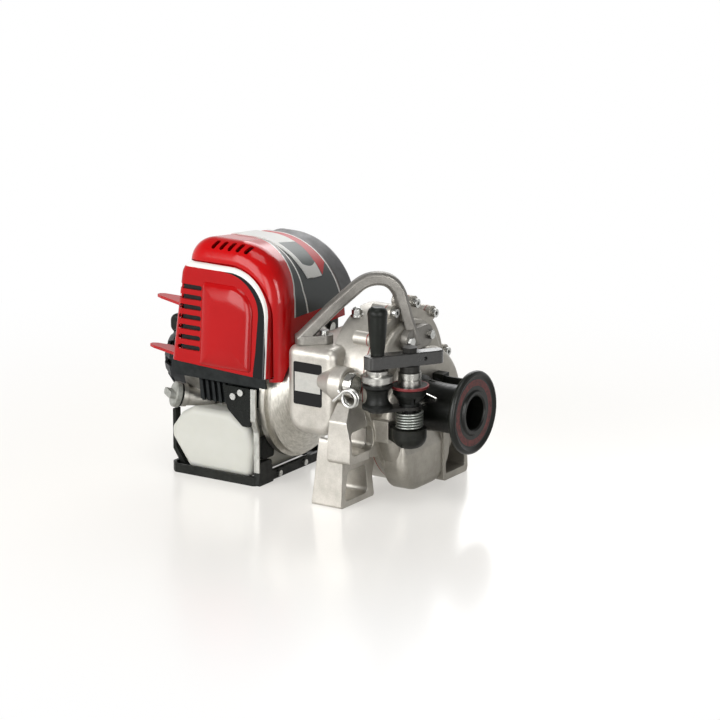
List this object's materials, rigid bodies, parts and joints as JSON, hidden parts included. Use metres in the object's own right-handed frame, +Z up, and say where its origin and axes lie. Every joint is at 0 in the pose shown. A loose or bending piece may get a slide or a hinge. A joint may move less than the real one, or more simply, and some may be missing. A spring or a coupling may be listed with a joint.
{
  "type": "forestry winch",
  "caption": "Petrol capstan winch with a hooded engine, cast gear case on looped legs, carrying arch, rope press lever with rollers, and a flanged rope drum",
  "frame": {"origin": "middle of the length and width, on the ground", "axes": "+X along the drum axis towards the free flange, -Y the side with the muffler guard, +Z up"},
  "size_m": [0.363, 0.196, 0.247],
  "materials": {
    "cast_aluminium": "sand-cast, matte",
    "red_gasket": "pressed paper",
    "bright_steel": "turned or zinc plated",
    "black_drum": "black hardened steel",
    "black_steel": "powder coat",
    "black_plastic": "moulded",
    "white_tank": "translucent polyethylene",
    "rubber": "moulded",
    "grey_plastic": "moulded",
    "red_shroud": "glossy moulded"
  },
  "bodies": {
    "winch_body": {"gear_case": "cast_aluminium", "case_cover": "cast_aluminium", "carry_handle": "cast_aluminium", "bell_housing": "cast_aluminium", "crankcase": "cast_aluminium", "cylinder": "cast_aluminium", "case_gasket": "red_gasket", "case_screws": "bright_steel", "handle_bolts": "bright_steel", "bearing_sleeve": "bright_steel", "rope_eye": "bright_steel", "lever_spring": "bright_steel", "rope_stripper": "bright_steel", "tank_strap": "bright_steel", "engine_screws": "bright_steel", "shaft_bearings": "bright_steel", "spark_plug": "bright_steel", "press_bracket": "black_steel", "pivot_post": "black_steel", "rope_stop": "black_steel", "engine_bracket": "black_steel", "muffler": "black_steel", "engine_base": "black_plastic", "recoil_housing": "black_plastic", "air_cleaner": "black_plastic", "carburettor": "black_plastic", "heat_shield": "black_plastic", "fuel_tank": "white_tank", "tank_pad": "rubber", "oil_ring": "rubber", "shaft_seal": "rubber", "rear_cowl": "grey_plastic", "top_cover": "red_shroud", "muffler_guard": "red_shroud"},
    "drum_unit": {"drum": "black_drum", "drum_flange": "black_drum", "drum_bolts": "black_drum", "drum_shaft": "bright_steel", "main_gear": "bright_steel"},
    "idler_unit": {"idler_gear": "bright_steel"},
    "clutch_unit": {"clutch_drum": "bright_steel"},
    "crank_unit": {"crankshaft": "bright_steel", "flywheel_fan": "bright_steel", "clutch_shoes": "bright_steel"},
    "press_lever": {"lever_bar": "black_steel", "link_plate": "black_steel", "spring_cone": "black_steel", "roller_pin": "bright_steel"},
    "roller_unit": {"guide_roller": "black_plastic", "roller_ring": "bright_steel"},
    "knob_unit": {"knob": "black_plastic"},
    "disc_unit": {"guide_disc": "black_plastic", "disc_ring": "bright_steel"},
    "pulley_unit": {"recoil_pulley": "black_plastic"},
    "grip_unit": {"starter_grip": "black_plastic"},
    "oil_cap_unit": {"oil_cap": "grey_plastic"},
    "fuel_cap_unit": {"fuel_cap": "black_plastic"},
    "throttle_unit": {"throttle_lever": "black_plastic"},
    "choke_unit": {"choke_lever": "black_plastic"}
  },
  "joints": [
    {"name": "drum_turn", "type": "hinge", "parent": "winch_body", "child": "drum_unit", "pos_m": [0.14, 0, 0.09], "axis": [1, 0, 0], "continuous": true},
    {"name": "idler_turn", "type": "hinge", "parent": "winch_body", "child": "idler_unit", "pos_m": [0.07, 0, 0.1395], "axis": [1, 0, 0], "continuous": true},
    {"name": "clutch_turn", "type": "hinge", "parent": "winch_body", "child": "clutch_unit", "pos_m": [0.02, -0.022, 0.1073], "axis": [1, 0, 0], "continuous": true},
    {"name": "crank_turn", "type": "hinge", "parent": "winch_body", "child": "crank_unit", "pos_m": [-0.08, -0.022, 0.1073], "axis": [1, 0, 0], "continuous": true},
    {"name": "lever_swing", "type": "hinge", "parent": "winch_body", "child": "press_lever", "pos_m": [0.136, -0.05, 0.12], "axis": [0, 0, 1], "range_deg": [0, 60], "stiffness_Nm_per_rad": 0.4, "deforming": ["lever_spring"]},
    {"name": "roller_turn", "type": "hinge", "parent": "press_lever", "child": "roller_unit", "pos_m": [0.11645, -0.07782, 0.116], "axis": [0, 0, 1], "continuous": true},
    {"name": "knob_turn", "type": "hinge", "parent": "press_lever", "child": "knob_unit", "pos_m": [0.11645, -0.07782, 0.18], "axis": [0, 0, 1], "continuous": true},
    {"name": "disc_turn", "type": "hinge", "parent": "winch_body", "child": "disc_unit", "pos_m": [0.136, -0.05, 0.125], "axis": [0, 0, 1], "continuous": true},
    {"name": "starter_pull", "type": "slide", "parent": "winch_body", "child": "grip_unit", "axis": [-1, 0, 0], "range_m": [0, 0.55], "stiffness_N_per_m": 4},
    {"name": "pulley_turn", "type": "hinge", "parent": "winch_body", "child": "pulley_unit", "pos_m": [-0.155, -0.022, 0.1073], "axis": [1, 0, 0], "range_deg": [0, 1696]},
    {"name": "oil_cap_turn", "type": "hinge", "parent": "winch_body", "child": "oil_cap_unit", "pos_m": [-0.122, -0.074, 0.08], "axis": [-0.6171, -0.7465, 0.2488], "range_deg": [0, 540]},
    {"name": "fuel_cap_turn", "type": "hinge", "parent": "winch_body", "child": "fuel_cap_unit", "pos_m": [-0.144, 0.014, 0.046], "axis": [-1, 0, 0], "range_deg": [0, 540]},
    {"name": "throttle_turn", "type": "hinge", "parent": "winch_body", "child": "throttle_unit", "pos_m": [-0.073, 0.054, 0.151], "axis": [0, 0, 1], "range_deg": [0, 60], "stiffness_Nm_per_rad": 0.01},
    {"name": "choke_turn", "type": "hinge", "parent": "winch_body", "child": "choke_unit", "pos_m": [-0.0405, 0.07175, 0.1146], "axis": [1, 0, 0], "range_deg": [0, 60]}
  ],
  "couplings": [
    {"joint": "idler_turn", "follows": "drum_turn", "ratio": -5.6},
    {"joint": "clutch_turn", "follows": "drum_turn", "ratio": 38.08},
    {"joint": "pulley_turn", "follows": "starter_pull", "rad_per_m": 53.191}
  ]
}
